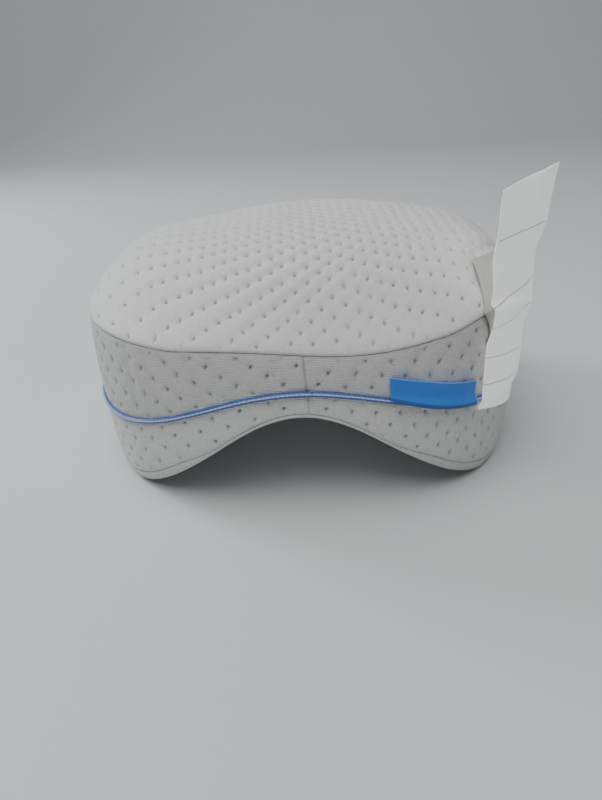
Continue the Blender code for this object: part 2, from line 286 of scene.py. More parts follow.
def pitMarks(columns, rows, drop, turn, wide=1.0):
    # Each pit sits where the column is whole and the row is whole less the column's drop. turn says how
    # both counts grow over the cloth. Returns how deep a point lies in its nearest pit, how far the pits
    # round it draw it down, the creases round a pit and the loop of thread beside it, where a highlight
    # is also painted.
    (ux, uy), (vx, vy) = turn
    size = ux * vy - uy * vx
    lean = -(vx * ux + vy * uy) / (ux * ux + uy * uy)
    mark = np.zeros_like(columns)
    dent = np.zeros_like(columns)
    star = np.zeros_like(columns)
    loopHighlight = np.zeros_like(columns)
    for side in (-2, -1, 0, 1, 2):
        index = np.round(columns) + side
        across = index - columns
        middle = np.round(rows - lean * across + index * drop)
        for step in (-1, 0, 1):
            number = middle + step
            along = number - index * drop - rows
            dx = (vy * across - uy * along) / size
            dy = (ux * along - vx * across) / size
            chance, other = chancesOf(index, number)
            dx = dx + cloth["scatter"] * (chance - 0.5)
            dy = dy + cloth["scatter"] * (other - 0.5)
            distance = np.hypot(dx, dy)
            slant = dx + dy * (chance - 0.3) * 0.7
            long = dy * (0.50 + 0.35 * other)
            here = bell(np.hypot(slant, long), cloth["pitWidth"] * wide)
            mark = np.maximum(mark, here * (0.6 + 0.4 * other))
            fromThread = np.hypot(dx + cloth["crumbAside"], dy - cloth["crumbBelow"])
            loopHighlight = np.maximum(loopHighlight, bell(fromThread, cloth["crumbWidth"]) * (0.4 + 0.6 * chance))
            weight = bell(distance, cloth["puffWidth"])
            dent += weight
            rays = np.cos(4 * np.arctan2(dy, dx) + other * 3)
            star += weight * rays * smooth(distance, cloth["starFrom"], cloth["starTo"])
    return mark, np.minimum(dent, cloth["mostDent"]), star, loopHighlight


def bandMarks(u, v):
    columns, rows = cloth["bandColumn"], cloth["bandPeriod"]
    turn = ((1 / columns, 0.0), (0.0, 1 / rows))
    return pitMarks(u / columns, v / rows, cloth["bandDrop"], turn, cloth["bandWide"])


def rightMarks(u, z):
    # The pits right of the front seam, whose rows lie nearly level.
    (ux, uy), (vx, vy) = turn = rightKnit["columns"], rightKnit["rows"]
    du, dz = u - rightKnit["pitAt"][0], z - rightKnit["pitAt"][1]
    return pitMarks(ux * du + uy * dz, vx * du + vy * dz, 0.0, turn, cloth["bandWide"])


def pitted(marks, fullness):
    mark, dent, star, loopHighlight = marks
    height = cloth["puff"] * fullness * (cloth["level"] - dent)
    height -= cloth["star"] * (0.4 + 0.6 * fullness) * star
    return height - cloth["pitDepth"] * mark + cloth["loopHighlight"] * loopHighlight


def driftedUv(u, v, seed):
    return u + cloth["drift"] * wander(u, v, seed), v + cloth["drift"] * wander(v, u, seed + 5)


print("shape ready")

# Bands
bands = {
    "cellsRound": 1280,
    "upperRows": 52,
    "lowerRows": 52,
    "tuck": 0.0005,          # the edge rolls in at a seam
    "tuckReach": 0.0008,
    "puff": 0.0007,
    "flat": 0.0006,          # no pits this close to a seam
    "full": 0.0045,          # and whole ones from here on
    "fullHeight": 0.018,     # a band lower than this puffs less
    "evenness": 0.55,        # draws the rows of cells towards the seams
    "knitFrom": 0.075,       # the height that the knit is counted from
    "gap": 0.0001,           # half of the space between two panels
    "seamTopX": 0.0022,      # the upright joining seam at the front
    "seamLowX": 0.0042,
    "seamDepth": 0.0006,
    "seamWidth": 0.0005,
    "seamTopZ": 0.096,
    "seamFall": 0.03,
    "seamStep": 0.00035,     # one side lies over the other
    "seamStepReach": 0.006,
    "seamShade": 1.4,
    "seamShadeLow": 0.6,     # it hardly shows below the piping
    "pull": 2.2,
    "pullLevel": 0.095,      # the height at which a leaning pull has its place
    "pullFrom": 0.05,        # the pulls fade out below these heights
    "pullFull": 0.075,
    "archShade": 0.2,        # the bottom seam is fainter inside the arch
    "archFrom": 0.035,
    "archTo": 0.075,
}
# The pits right of the front seam: counts a metre along and up, and where one of them lies
rightKnit = {"columns": (70.7, -55.4), "rows": (18.9, 140.5), "pitAt": (0.0280, 0.0840)}
# Soft pulls in the upper band: place along the front, lean, width and depth
pulls = [
    {"at": -0.096, "lean": 0.10, "width": 0.0030, "depth": 0.00035},
    {"at": -0.083, "lean": 0.16, "width": 0.0026, "depth": 0.00045},
    {"at": -0.072, "lean": 0.20, "width": 0.0034, "depth": 0.00040},
    {"at": -0.058, "lean": 0.24, "width": 0.0028, "depth": 0.00050},
    {"at": -0.046, "lean": 0.22, "width": 0.0026, "depth": 0.00040},
    {"at": -0.031, "lean": 0.12, "width": 0.0036, "depth": 0.00030},
    {"at": -0.012, "lean": 0.05, "width": 0.0032, "depth": 0.00025},
    {"at": 0.030, "lean": -0.10, "width": 0.0040, "depth": 0.00025},
    {"at": 0.060, "lean": -0.16, "width": 0.0036, "depth": 0.00030},
]


def frontSeam(seamX, seamY, z):
    # The way across the upright joining seam, and far off it on the back.
    fall = np.clip((bands["seamTopZ"] - z) / bands["seamFall"], 0, 1.6)
    middle = bands["seamTopX"] + (bands["seamLowX"] - bands["seamTopX"]) * fall
    return np.where(seamY < 0, seamX - middle, 1.0)


def archFaint(seamX):
    away = smooth(np.abs(seamX), bands["archFrom"], bands["archTo"])
    return bands["archShade"] + (1 - bands["archShade"]) * away


def tuckedIn(fromSeam):
    return bands["tuck"] * np.exp(-fromSeam / bands["tuckReach"])


def makeBand(name, lowSeam, highSeam, rows):
    builder = bmesh.new()
    bmesh.ops.create_circle(builder, segments=bands["cellsRound"], radius=1.0)
    start = builder.edges[:]
    top = extrudeRows(builder, start, rows, 1.0)
    closeLoop(builder, top, 1.0, bandClosing)
    closeLoop(builder, start, -1.0, bandClosing)
    piece = newPiece(name, builder)
    points = meshPoints(piece.data)
    radius = np.hypot(points[:, 0], points[:, 1])
    share = np.mod((np.arctan2(points[:, 1], points[:, 0]) + pi / 2) / (2 * pi), 1)
    angle = angleOfShare(share)
    level = np.clip(points[:, 2] / rows, 0, 1)
    level = level - bands["evenness"] * np.sin(2 * pi * level) / (2 * pi)
    seamX, seamY = outlineAt(angle)
    low = lowSeam(seamX * radius, seamY * radius) + bands["gap"]
    high = highSeam(seamX * radius, seamY * radius) - bands["gap"]
    height = high - low
    z = low + height * level
    arc = share * ringLength
    arc = np.where(arc > ringLength / 2, arc - ringLength, arc)
    u, v = driftedUv(arc, z - bands["knitFrom"], 1.0)
    left, right = bandMarks(u, v), rightMarks(u, v + bands["knitFrom"])
    marks = [np.where(arc > bands["seamTopX"], one, other) for one, other in zip(right, left)]

    fromSeam = np.minimum(level, 1 - level) * height
    inside = smooth(fromSeam, bands["flat"], bands["full"])
    fullness = np.minimum(height / bands["fullHeight"], 1)
    offset = bands["puff"] * fullness * np.sqrt(np.maximum(np.sin(pi * level), 0))
    offset -= tuckedIn(fromSeam)
    offset += pitted(marks, cloth["bandFullness"]) * inside
    pulled = bands["pull"] * inside * smooth(z, bands["pullFrom"], bands["pullFull"])
    for pull in pulls:
        across = arc - pull["at"] + pull["lean"] * (z - bands["pullLevel"])
        offset -= pulled * pull["depth"] * bell(across, pull["width"])
    across = frontSeam(seamX, seamY, z)
    offset -= bands["seamDepth"] * bell(across, bands["seamWidth"])
    offset += bands["seamStep"] * np.where(across < 0, bell(across, bands["seamStepReach"]), 0) * inside
    edgeX, edgeY = outlineAt(angle, (wallOffset(z) + offset) * radius)
    setPoints(piece.data, np.stack((edgeX * radius, edgeY * radius, z), 1))

    # painted shade along the seams: only the bottom seam comes below half of the top seam's height. There
    # its painted shade is fainter on the arch's flanks, while its top, which is higher, stays as it is
    faint = np.where(low < 0.5 * pillow["seamHeight"], smooth(level, 0.3, 0.7), 1.0)
    faint = np.maximum(faint, archFaint(seamX))
    # painted shade along the upright joining seam, weaker below the piping
    strength = np.where(z > pipingSeam(seamX, seamY), bands["seamShade"], bands["seamShadeLow"])
    joining = strength * bell(across, cloth["creaseWidth"])
    setUv(piece.data, np.stack((arc, z), 1))
    setShade(piece.data, "crease", np.maximum(faint * np.exp(-fromSeam / cloth["creaseWidth"]), joining))
    setShade(piece.data, "pit", marks[0] * inside)
    setShade(piece.data, "loopHighlight", marks[3] * inside)
    setShade(piece.data, "blueBounce", besideBlue(angle, z - pipingSeam(seamX, seamY)))
    return piece


# Top and bottom panels
panels = {
    "cellsX": 440,
    "cellsY": 400,
    "rimRows": 1,
    "rimStep": 0.0004,
    "rimRound": 0.045,       # the share of the panel over which its edge rolls up from the seam
    "bottomCellsX": 150,
    "bottomCellsY": 140,
    "lipRows": 10,
    "rimPuff": 0.004,        # the height over which the rim puffs out
    "pitsFrom": 0.0006,
    "pitsFull": 0.003,
    "leastFull": 0.35,       # the puffs are flattest along the rim
    "fullFrom": 0.02,
    "fullTo": 0.30,
    "lobeFlat": 0.55,        # and flatter on the two lobes
    "lobeFrom": 0.05,
    "lobeTo": 0.11,
    "wallFrom": 0.88,        # the ring from which the top leans with the wall
    "archOnly": 0.004,       # the underside has pits where it stands off the floor
    "underShade": 0.5,
    "normalStep": 0.0004,
    "steepest": 6,
}


# Creases that the labels' corner pulls into the top: from, to, width and depth
folds = [
    {"from": (0.0930, -0.0600), "to": (0.1167, -0.0233), "width": 0.0030, "depth": 0.0016},
    {"from": (0.1010, -0.0760), "to": (0.0860, -0.0700), "width": 0.0050, "depth": 0.0008},
]


def foldedIn(x, y):
    sink = np.zeros_like(x)
    for fold in folds:
        run = np.subtract(fold["to"], fold["from"])
        length = np.hypot(*run)
        dx, dy = x - fold["from"][0], y - fold["from"][1]
        share = (dx * run[0] + dy * run[1]) / length ** 2
        aside = (dx * run[1] - dy * run[0]) / length
        ends = smooth(share, -0.35, 0.2) * (1 - smooth(share, 0.8, 1.35))
        ridge = 0.6 * bell(aside + 2.2 * fold["width"], 2 * fold["width"])
        sink += fold["depth"] * ends * (bell(aside, fold["width"]) - ridge)
    return sink


def squareToPlan(points):
    # Grid points from -1 to 1 onto the rounded square: plan angle and ring.
    u, v = np.clip(points[:, 0], -1, 1), np.clip(points[:, 1], -1, 1)
    u = (u + np.sin(pi / 2 * u)) / 2
    v = (v + np.sin(pi / 2 * v)) / 2
    return np.arctan2(v, u), np.maximum(np.abs(u), np.abs(v))


def makeTopPanel():
    builder = bmesh.new()
    bmesh.ops.create_grid(builder, x_segments=panels["cellsX"], y_segments=panels["cellsY"], size=1.0)
    rim = [edge for edge in builder.edges if edge.is_boundary]
    rim = extrudeRows(builder, rim, panels["rimRows"], -1.0)
    closeLoop(builder, rim, -1.0, panelClosing)
    piece = newPiece("topPanel", builder)
    points = meshPoints(piece.data)
    angle, ring = squareToPlan(points)
    depth = -points[:, 2] / panels["rimRows"]           # 0 on the crown, 1 at the seam, more underneath
    seamX, seamY = outlineAt(angle)
    x, y = seamX * ring, seamY * ring
    seam = topSeam(x, y) + bands["gap"]
    level = np.clip(1 - depth, 0, 1)
    onTop = depth <= 0
    roll = 1 - np.clip((1 - ring) / panels["rimRound"], 0, 1)
    edge = (pillow["rim"] - panels["rimStep"]) * np.sqrt(1 - roll ** 2)
    z = seam + panels["rimStep"] * level + np.where(onTop, crownAt(x, y) + edge, 0)
    climb = z - seam
    flatX, flatY = flatTop(x, y)
    flatX = flatX + cloth["drift"] / knitSpan["unit"] * wander(x, y, 2.0)
    flatY = flatY + cloth["drift"] / knitSpan["unit"] * wander(y, x, 7.0)
    columns, rows = clothCount(knitColumns, flatX, flatY), clothCount(knitRows, flatX, flatY)
    turn = countGrowth(knitColumns, flatX, flatY), countGrowth(knitRows, flatX, flatY)
    marks = pitMarks(columns, rows, cloth["topDrop"], turn)
    inside = smooth(climb, panels["pitsFrom"], panels["pitsFull"])
    awayFromLobes = 1 - panels["lobeFlat"] * smooth(np.abs(x), panels["lobeFrom"], panels["lobeTo"])
    fromRim = smooth(1 - ring, panels["fullFrom"], panels["fullTo"])
    fullness = panels["leastFull"] + (1 - panels["leastFull"]) * fromRim * awayFromLobes
    lift = (pitted(marks, fullness) - foldedIn(x, y)) * inside
    normalX, normalY, normalZ = topNormal(x, y)
    swell = bands["puff"] * np.sqrt(np.clip(climb / panels["rimPuff"], 0, 1)) - tuckedIn(climb)
    atEdge = smooth(ring, panels["wallFrom"], 1.0)
    edgeX, edgeY = outlineAt(angle, (wallOffset(np.minimum(z, seam)) + swell) * atEdge)
    place = np.stack((edgeX * ring, edgeY * ring, z), 1)
    place += np.stack((normalX, normalY, normalZ), 1) * lift[:, None] * onTop[:, None]
    setPoints(piece.data, place)
    setUv(piece.data, np.stack((columns * cloth["topColumn"], rows * cloth["topPeriod"]), 1))
    # painted shade along the top seam
    setShade(piece.data, "crease", np.exp(-np.maximum(climb, 0) / cloth["creaseWidth"]))
    setShade(piece.data, "pit", marks[0] * inside)
    setShade(piece.data, "loopHighlight", marks[3] * inside)
    setShade(piece.data, "blueBounce", np.zeros_like(climb))
    return piece


def topNormal(x, y):
    step, steepest = panels["normalStep"], panels["steepest"]
    slopeX = (crownAt(x + step, y) - crownAt(x - step, y)) / (2 * step)
    slopeY = (crownAt(x, y + step) - crownAt(x, y - step)) / (2 * step)
    slopeX = np.clip(slopeX, -steepest, steepest)
    slopeY = np.clip(slopeY, -steepest, steepest)
    length = np.sqrt(1 + slopeX ** 2 + slopeY ** 2)
    return -slopeX / length, -slopeY / length, 1 / length


# The knit's columns and rows against the way along the surface, in units of 0.1 m, from the photo's
# pits: constant, x, y, xx, xy, yy, xxx, xxy, xyy, yyy, xxxx, xxyy
knitColumns = (8.744, 15.854, 0.665, 0.340, -0.806, 0.147, -1.724, 0.341, -0.516, 0.270, 0.142, -0.363)
knitRows = (13.827, 1.323, 9.218, -9.333, 1.130, -0.238, -0.692, -0.769, 0.338, -0.329, 3.171, 1.654)
knitSpan = {
    "unit": 0.1,
    "sideEnd": 1.02,         # the counts are carried on evenly past these, in the same units
    "frontEnd": -1.30,
    "backEnd": 0.90,
    "step": 0.001,
    "ticks": 70,
}


def clothTerms(terms, x, y):
    shapes = (1, x, y, x * x, x * y, y * y, x ** 3, x * x * y, x * y * y, y ** 3, x ** 4, x * x * y * y)
    return sum(term * shape for term, shape in zip(terms, shapes))


def growth(count, terms, x, y):
    # How fast a count grows along x and y.
    step = knitSpan["step"]
    alongX = (count(terms, x + step, y) - count(terms, x - step, y)) / (2 * step)
    alongY = (count(terms, x, y + step) - count(terms, x, y - step)) / (2 * step)
    return alongX, alongY


def clothCount(terms, x, y):
    insideX = np.clip(x, -knitSpan["sideEnd"], knitSpan["sideEnd"])
    insideY = np.clip(y, knitSpan["frontEnd"], knitSpan["backEnd"])
    alongX, alongY = growth(clothTerms, terms, insideX, insideY)
    return clothTerms(terms, insideX, insideY) + (x - insideX) * alongX + (y - insideY) * alongY


def countGrowth(terms, x, y):
    # The same for a whole count, over a metre.
    alongX, alongY = growth(clothCount, terms, x, y)
    return alongX / knitSpan["unit"], alongY / knitSpan["unit"]


def flatTop(x, y):
    # A point's way from the middle of the top, measured along the surface.
    ticks = np.linspace(0, 1, knitSpan["ticks"])
    length = np.zeros_like(x)
    lastZ = np.full_like(x, crownAt(0.0, 0.0))
    reach = np.hypot(x, y)
    for before, here in zip(ticks[:-1], ticks[1:]):
        nowZ = crownAt(x * here, y * here) + pillow["seamRise"] * (x * here / pillow["halfWidth"]) ** 2
        length += np.hypot(reach * (here - before), nowZ - lastZ)
        lastZ = nowZ
    length = length / np.maximum(reach, 1e-9)
    return x * length / knitSpan["unit"], y * length / knitSpan["unit"]


def makeBottomPanel():
    builder = bmesh.new()
    cellsX, cellsY = panels["bottomCellsX"], panels["bottomCellsY"]
    bmesh.ops.create_grid(builder, x_segments=cellsX, y_segments=cellsY, size=1.0)
    lip = [edge for edge in builder.edges if edge.is_boundary]
    lip = extrudeRows(builder, lip, panels["lipRows"], 1.0)
    closeLoop(builder, lip, 1.0, panelClosing)
    piece = newPiece("bottomPanel", builder)
    points = meshPoints(piece.data)
    angle, ring = squareToPlan(points)
    level = np.clip(points[:, 2] / panels["lipRows"], 0, 1)
    seamX, seamY = outlineAt(angle)
    x, y = seamX * ring, seamY * ring
    low = underside(x, y)
    z = low + (bottomSeam(x, y) - bands["gap"] - low) * level
    under = 1 - np.sqrt(np.maximum(1 - (1 - level) ** 2, 0))
    lipHere = bottomSeam(x, y) - low
    fromSeam = (1 - level) * lipHere
    offset = -tuckedIn(fromSeam) - pillow["floorEdge"] * under * lipHere / pillow["lip"]
    edgeX, edgeY = outlineAt(angle, (wallOffset(z) + offset) * ring)
    u, v = driftedUv(edgeX * ring, edgeY * ring, 3.0)
    marks = bandMarks(u, v)
    flatPart = level <= 0
    hollow = np.where(flatPart & (low > panels["archOnly"]), pitted(marks, cloth["underFullness"]), 0)
    z = z - hollow * smooth(1 - ring, 0.0, 0.03)
    setPoints(piece.data, np.stack((edgeX * ring, edgeY * ring, z), 1))
    setUv(piece.data, np.stack((u, v), 1))
    # painted shade along the bottom seam, fainter inside the arch
    crease = archFaint(seamX) * np.exp(-fromSeam / cloth["creaseWidth"])
    setShade(piece.data, "crease", panels["underShade"] * crease)
    setShade(piece.data, "pit", marks[0] * flatPart)
    setShade(piece.data, "loopHighlight", marks[3] * flatPart)
    setShade(piece.data, "blueBounce", np.zeros_like(z))
    return piece


# Piping
cord = {
    "radius": 0.00145,
    "proud": 0.0009,
    "facets": 16,
    "rows": 900,
    "groove": 0.00022,       # two fine grooves along it
    "joinAt": radians(-88.6),
    "overlap": radians(1.3),
    "reach": radians(2.2),   # how far each end bends towards the joining seam
    "endRise": 0.00042,      # the end that comes from the left rises and stands out
    "endOut": 0.0007,
    "startDip": 0.00027,     # and the start, which runs right, dips in under it
    "startIn": 0.0005,
    "uneven": 0.00018,
    "grooveHigh": 0.55,
    "grooveHighWidth": 0.16,
    "grooveLow": -0.25,
    "grooveLowWidth": 0.14,
    "probe": 0.01,           # a second point this far out gives the way out
}


def makePiping():
    builder = bmesh.new()
    bmesh.ops.create_circle(builder, segments=cord["facets"], radius=1.0)
    start = builder.edges[:]
    end = extrudeRows(builder, start, cord["rows"], 1.0)
    closeLoop(builder, end, 0.2, (0.8,))
    closeLoop(builder, start, -0.2, (0.8,))
    piece = newPiece("pipingCord", builder)
    points = meshPoints(piece.data)
    along = np.clip(points[:, 2] / cord["rows"], 0, 1)
    spin = 2 * pi + 2 * cord["overlap"]
    angle = cord["joinAt"] - cord["overlap"] + spin * along
    seamX, seamY = outlineAt(angle)
    z = pipingSeam(seamX, seamY)
    fromStart = angle - (cord["joinAt"] - cord["overlap"])
    nearStart = bell(fromStart, cord["reach"])
    nearEnd = bell(spin - fromStart, cord["reach"])
    z = z + cord["endRise"] * nearEnd - cord["startDip"] * nearStart
    uneven = cord["uneven"] * wander(along * ringLength, np.zeros_like(along), 7.0)
    out = wallOffset(z) + cord["proud"] + uneven
    out += cord["endOut"] * nearEnd - cord["startIn"] * nearStart
    around = np.arctan2(points[:, 1], points[:, 0])
    size = np.hypot(points[:, 0], points[:, 1])
    grooves = bell(around - cord["grooveHigh"], cord["grooveHighWidth"])
    grooves += bell(around - cord["grooveLow"], cord["grooveLowWidth"])
    radius = (cord["radius"] - cord["groove"] * grooves) * size
    centreX, centreY = outlineAt(angle, out)
    outX, outY = outlineAt(angle, out + cord["probe"])
    directionX, directionY = (outX - centreX) / cord["probe"], (outY - centreY) / cord["probe"]
    place = np.stack((centreX + directionX * radius * np.cos(around),
                      centreY + directionY * radius * np.cos(around),
                      z + radius * np.sin(around)), 1)
    setPoints(piece.data, place)
    setUv(piece.data, np.stack((along * ringLength, around), 1))
    return piece


# Labels
blue = {
    "from": radians(-70.6),
    "to": radians(-50.0),
    "rise": 0.0136,
    "riseFall": 0.0013,      # lower towards its right end
    "drop": -0.0012,         # its lower edge starts at the cord and ends below it
    "dropFall": 0.0025,
    "sag": 0.0011,           # its lower edge sags at the middle
    "thickness": 0.0006,
    "lift": 0.0005,
    "bulge": 0.0009,         # room over the cord
    "bulgeReach": 0.0032,
    "ripple": 0.00025,
    "curl": 0.0006,          # its right end stands off a little
    "curlFrom": 0.9,
    "haloReach": 0.0045,     # the blue that it casts on the band above it
}
# The long label from its sewn end up: the height and plan place of its left edge, the way its cloth
# heads and how far that turns, in degrees, and how much lower its right edge lies
longRows = [
    {"height": 0.0500, "x": 0.0940, "y": -0.0955, "heading": 42, "turn": 22, "fall": 0.0150},
    {"height": 0.0560, "x": 0.0938, "y": -0.0962, "heading": 42, "turn": 22, "fall": 0.0130},
    {"height": 0.0640, "x": 0.0936, "y": -0.0968, "heading": 43, "turn": 21, "fall": 0.0108},
    {"height": 0.0740, "x": 0.0937, "y": -0.0970, "heading": 42, "turn": 19, "fall": 0.0103},
    {"height": 0.0830, "x": 0.0938, "y": -0.0970, "heading": 43, "turn": 16, "fall": 0.0096},
    {"height": 0.0900, "x": 0.0946, "y": -0.0965, "heading": 43, "turn": 12, "fall": 0.0060},
    {"height": 0.0955, "x": 0.0968, "y": -0.0948, "heading": 45, "turn": 9, "fall": 0.0010},
    {"height": 0.1030, "x": 0.0973, "y": -0.0938, "heading": 46, "turn": 8, "fall": -0.0030},
    {"height": 0.1130, "x": 0.0972, "y": -0.0930, "heading": 46, "turn": 8, "fall": -0.0048},
    {"height": 0.1260, "x": 0.0972, "y": -0.0922, "heading": 45, "turn": 6, "fall": -0.0030},
    {"height": 0.1390, "x": 0.0979, "y": -0.0920, "heading": 46, "turn": 3, "fall": -0.0012},
    {"height": 0.1520, "x": 0.0976, "y": -0.0926, "heading": 45, "turn": 0, "fall": 0.0},
    {"height": 0.1640, "x": 0.0972, "y": -0.0938, "heading": 44, "turn": -2, "fall": -0.0060},
]
# The cream label from its sewn end: how far up the wall, and the plan angle in degrees and the ring of
# its left and right edges
shortRows = [
    {"up": 0.20, "left": -46.8, "leftRing": 1.0, "right": -24.8, "rightRing": 1.0},
    {"up": 0.50, "left": -46.6, "leftRing": 1.0, "right": -24.8, "rightRing": 1.0},
    {"up": 0.80, "left": -46.8, "leftRing": 1.0, "right": -24.8, "rightRing": 1.0},
    {"up": 1.00, "left": -48.8, "leftRing": 1.0, "right": -25.6, "rightRing": 1.0},
    {"up": 1.00, "left": -48.0, "leftRing": 0.985, "right": -25.2, "rightRing": 0.988},
    {"up": 1.00, "left": -45.6, "leftRing": 0.948, "right": -22.4, "rightRing": 0.970},
    {"up": 1.00, "left": -42.0, "leftRing": 0.890, "right": -17.4, "rightRing": 0.950},
    {"up": 1.00, "left": -37.0, "leftRing": 0.822, "right": -11.4, "rightRing": 0.925},
]
tapes = {
    "longWidth": 0.050,
    "thickness": 0.0005,
    "standoff": 0.0038,      # between the wall and the long tape, with the cream tape between them
    "lift": 0.0012,          # and at its sewn end
    "sewn": 0.005,
    "wave": 0.0007,          # the long tape isn't quite flat
    "shoulderLift": 0.0012,
    "shoulderRoom": 0.0045,
    "onBand": 0.0006,        # between the cream tape and the band's puffs
    "wallFrom": 0.998,       # the shoulder is searched inwards between these rings
    "wallTo": 0.6,
    "wallStep": 0.002,
    "bendSteps": 24,
    "hem": 0.00035,          # the cream tape's turned edge
    "hemWidth": 0.07,
}


def readRows(rows, along):
    # Row values at a share of the way along, eased so that the tape bends without corners.
    place = np.clip(along, 0, 1) * (len(rows) - 1)
    first = np.minimum(place.astype(int), len(rows) - 2)
    part = place - first
    result = {}
    for key in rows[0]:
        column = np.array([row[key] for row in rows], dtype=float)
        before = column[np.maximum(first - 1, 0)]
        one = column[first]
        two = column[first + 1]
        after = column[np.minimum(first + 2, len(rows) - 1)]
        slopeOne = (two - before) / 2
        slopeTwo = (after - one) / 2
        a = 2 * part ** 3 - 3 * part ** 2 + 1
        b = part ** 3 - 2 * part ** 2 + part
        c = -2 * part ** 3 + 3 * part ** 2
        d = part ** 3 - part ** 2
        result[key] = a * one + b * slopeOne + c * two + d * slopeTwo
    return result


def makeTape(name, columns, rows, place, thickness):
    builder = bmesh.new()
    bmesh.ops.create_grid(builder, x_segments=columns, y_segments=rows, size=1.0)
    piece = newPiece(name, builder)
    points = meshPoints(piece.data)
    across = (points[:, 0] + 1) / 2
    along = (points[:, 1] + 1) / 2
    x, y, z = place(across, along)
    setPoints(piece.data, np.stack((x, y, z), 1))
    setUv(piece.data, np.stack((across, along), 1))
    solid = piece.modifiers.new("tapeThickness", "SOLIDIFY")
    solid.thickness = thickness
    solid.offset = 1.0
    return piece


def bluePlace(across, along):
    angle = blue["from"] + (blue["to"] - blue["from"]) * across
    x, y = outlineAt(angle)
    low = -blue["drop"] - blue["dropFall"] * across - blue["sag"] * np.sin(pi * across)
    high = blue["rise"] - blue["riseFall"] * across
    rise = low + (high - low) * along
    z = pipingSeam(x, y) + rise
    band = bands["puff"] + blue["lift"]
    bulge = cord["proud"] + cord["radius"] + blue["lift"] + blue["bulge"]
    near = bell(rise, blue["bulgeReach"])
    ripple = blue["ripple"] * np.sin(across * 9 + 1) * (0.3 + along)
    ripple += blue["curl"] * np.maximum(across - blue["curlFrom"], 0) / (1 - blue["curlFrom"]) * along
    out = wallOffset(z) + band + (bulge - band) * near + ripple
    x, y = outlineAt(angle, out)
    return x, y, z


def besideBlue(angle, abovePiping):
    # How much painted blue light bounced from the label falls on the band, strongest along its upper
    # edge.
    fromLeft = smooth(angle, blue["from"] - 0.02, blue["from"] + 0.03)
    fromRight = 1 - smooth(angle, blue["to"] - 0.03, blue["to"] + 0.02)
    return fromLeft * fromRight * bell(abovePiping - blue["rise"], blue["haloReach"])


def clearOfWall(x, y, z):
    # Moves the long label's points out to the wall, the shoulder and what lies on them.
    angle = np.arctan2(y / pillow["halfDepth"], x / pillow["halfWidth"])
    seamX, seamY = outlineAt(angle)
    covered = np.clip((z - pipingSeam(seamX, seamY) + tapes["sewn"]) / tapes["sewn"], 0, 1)
    room = tapes["lift"] + (tapes["standoff"] - tapes["lift"]) * covered
    climb = z - topSeam(seamX, seamY) - pillow["rim"]
    ring = np.ones_like(z)
    for share in np.arange(tapes["wallFrom"], tapes["wallTo"], -tapes["wallStep"]):
        ring = np.where(crownAt(seamX * share, seamY * share) < climb, share, ring)
    room = room + tapes["shoulderRoom"] * np.minimum((1 - ring) * 10, 1)
    wallX, wallY = outlineAt(angle, wallOffset(np.minimum(z, pillow["seamHeight"])) + room)
    wallX, wallY = wallX * ring, wallY * ring
    inside = wallX ** 2 + wallY ** 2 > x ** 2 + y ** 2
    return np.where(inside, wallX, x), np.where(inside, wallY, y)


def longPlace(across, along):
    row = readRows(longRows, along)
    x, y = row["x"].copy(), row["y"].copy()
    steps = tapes["bendSteps"]
    for step in range(steps):
        heading = np.radians(row["heading"] + row["turn"] * across * (step + 0.5) / steps)
        x += tapes["longWidth"] * across / steps * np.cos(heading)
        y += tapes["longWidth"] * across / steps * np.sin(heading)
    z = row["height"] - row["fall"] * across
    facing = np.radians(row["heading"] + row["turn"] * across)
    ripples = np.sin(along * 21 + across * 2.5) + 0.6 * np.sin(along * 37 - across * 5 + 1)
    wave = tapes["wave"] * ripples * smooth(along, 0.15, 0.45)
    # one soft fold runs slanting up to the free end
    wave += tapes["wave"] * 1.2 * bell(across - 0.45 - 0.25 * along, 0.09) * smooth(along, 0.7, 1.0)
    x, y = clearOfWall(x + wave * np.sin(facing), y - wave * np.cos(facing), z)
    return x, y, z


def shortPlace(across, along):
    row = readRows(shortRows, along)
    angle = np.radians(row["left"] + (row["right"] - row["left"]) * across)
    ring = np.minimum(row["leftRing"] + (row["rightRing"] - row["leftRing"]) * across, 1.0)
    x, y = outlineAt(angle)
    low = pipingSeam(x, y)
    z = low + (topSeam(x, y) + pillow["rim"] - low) * np.minimum(row["up"], 1.0)
    out = wallOffset(np.minimum(z, pillow["seamHeight"])) + bands["puff"] + tapes["onBand"]
    z = z + topSeam(x * ring, y * ring) - topSeam(x, y) + crownAt(x * ring, y * ring)
    hem = np.maximum(1 - smooth(across, tapes["hemWidth"] * 0.8, tapes["hemWidth"]),
                     smooth(along, 1 - tapes["hemWidth"], 1 - tapes["hemWidth"] * 0.8))
    x, y = outlineAt(angle, out + tapes["hem"] * hem)
    z = z + (tapes["shoulderLift"] + tapes["hem"] * hem) * np.minimum((1 - ring) * 10, 1.0)
    return x * ring, y * ring, z


# Materials
class Wire:
    # A socket with arithmetic, so that shader maths reads as an expression.
    def __init__(self, nodes, socket):
        self.nodes = nodes
        self.socket = socket

    def maths(self, operation, other=None, flip=False):
        first, second = (other, self) if flip else (self, other)
        inputs = {0: first} if second is None else {0: first, 1: second}
        return self.nodes.add("ShaderNodeMath", {"operation": operation}, inputs)

    def __add__(self, other):
        return self.maths("ADD", other)

    def __radd__(self, other):
        return self.maths("ADD", other, True)

    def __sub__(self, other):
        return self.maths("SUBTRACT", other)

    def __rsub__(self, other):
        return self.maths("SUBTRACT", other, True)

    def __mul__(self, other):
        return self.maths("MULTIPLY", other)

    def __rmul__(self, other):
        return self.maths("MULTIPLY", other, True)

    def __truediv__(self, other):
        return self.maths("DIVIDE", other)

    def __pow__(self, other):
        return self.maths("POWER", other)

    def clipped(self):
        return self.maths("MINIMUM", 1.0).maths("MAXIMUM", 0.0)


